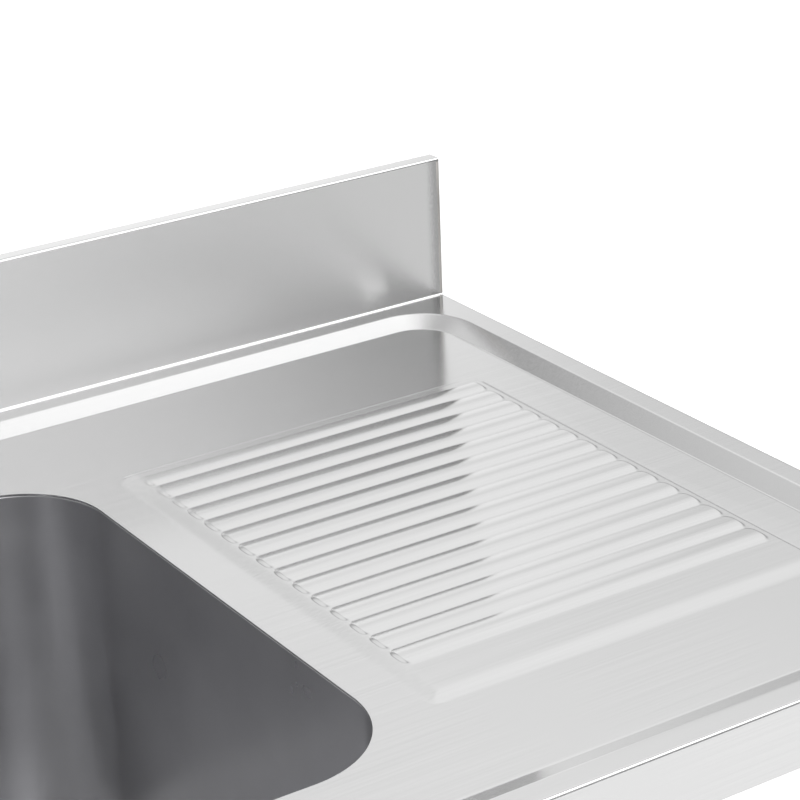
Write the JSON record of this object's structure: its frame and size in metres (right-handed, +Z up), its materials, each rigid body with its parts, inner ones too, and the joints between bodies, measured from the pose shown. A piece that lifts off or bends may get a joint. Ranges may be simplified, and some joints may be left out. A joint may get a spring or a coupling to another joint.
{
  "type": "sink table",
  "caption": "Free-standing stainless sink table with a bowl, ribbed drainer, backsplash, shelf, lift-out standpipe and levelling feet.",
  "frame": {"origin": "on the floor, under the middle of the table", "axes": "+X towards the drainer end, +Y towards the wall and the backsplash, +Z up"},
  "size_m": [0.9, 0.6, 0.95],
  "materials": {
    "worktop_steel": "fine brushed along the length",
    "bowl_steel": "satin, drawn",
    "leg_steel": "ground round the tube",
    "shelf_steel": "brushed",
    "frame_steel": "mill",
    "waste_steel": "turned and polished",
    "fastener_steel": "machined",
    "black_plastic": "moulded",
    "seal_rubber": "moulded",
    "sound_pad": "pressed sheet"
  },
  "bodies": {
    "table": {"worktop": "worktop_steel", "backsplash": "worktop_steel", "splash_end_left": "worktop_steel", "splash_end_right": "worktop_steel", "bowl": "bowl_steel", "drainer_stiffener": "frame_steel", "drainer_sound_pad_left": "sound_pad", "drainer_sound_pad_right": "sound_pad", "bowl_sound_pad": "sound_pad", "gusset_front_left": "frame_steel", "gusset_front_right": "frame_steel", "gusset_rear_left": "frame_steel", "gusset_rear_right": "frame_steel", "socket_front_left": "frame_steel", "socket_front_right": "frame_steel", "socket_rear_left": "frame_steel", "socket_rear_right": "frame_steel", "leg_front_left": "leg_steel", "leg_front_right": "leg_steel", "leg_rear_left": "leg_steel", "leg_rear_right": "leg_steel", "insert_front_left": "black_plastic", "insert_front_right": "black_plastic", "insert_rear_left": "black_plastic", "insert_rear_right": "black_plastic", "collar_front_left": "frame_steel", "collar_front_right": "frame_steel", "collar_rear_left": "frame_steel", "collar_rear_right": "frame_steel", "shelf": "shelf_steel", "shelf_stiffener": "frame_steel", "socket_screws": "fastener_steel", "collar_screws": "fastener_steel", "waste_body": "waste_steel", "waste_seal_upper": "seal_rubber", "waste_seal_lower": "seal_rubber", "waste_nut": "fastener_steel", "bonding_bolt": "fastener_steel", "bonding_washer": "fastener_steel", "bonding_nut": "fastener_steel"},
    "standpipe": {"standpipe": "waste_steel", "standpipe_seal": "seal_rubber"},
    "foot_front_left": {"foot_stud_front_left": "fastener_steel", "foot_pad_front_left": "black_plastic"},
    "foot_front_right": {"foot_stud_front_right": "fastener_steel", "foot_pad_front_right": "black_plastic"},
    "foot_rear_left": {"foot_stud_rear_left": "fastener_steel", "foot_pad_rear_left": "black_plastic"},
    "foot_rear_right": {"foot_stud_rear_right": "fastener_steel", "foot_pad_rear_right": "black_plastic"}
  },
  "joints": [
    {"name": "foot_front_left_height", "type": "slide", "parent": "table", "child": "foot_front_left", "axis": [0, 0, -1], "range_m": [0, 0.025]},
    {"name": "foot_front_right_height", "type": "slide", "parent": "table", "child": "foot_front_right", "axis": [0, 0, -1], "range_m": [0, 0.025]},
    {"name": "foot_rear_left_height", "type": "slide", "parent": "table", "child": "foot_rear_left", "axis": [0, 0, -1], "range_m": [0, 0.025]},
    {"name": "foot_rear_right_height", "type": "slide", "parent": "table", "child": "foot_rear_right", "axis": [0, 0, -1], "range_m": [0, 0.025]},
    {"name": "standpipe_lift", "type": "slide", "parent": "table", "child": "standpipe", "axis": [0, 0, 1], "range_m": [0, 0.26]}
  ]
}
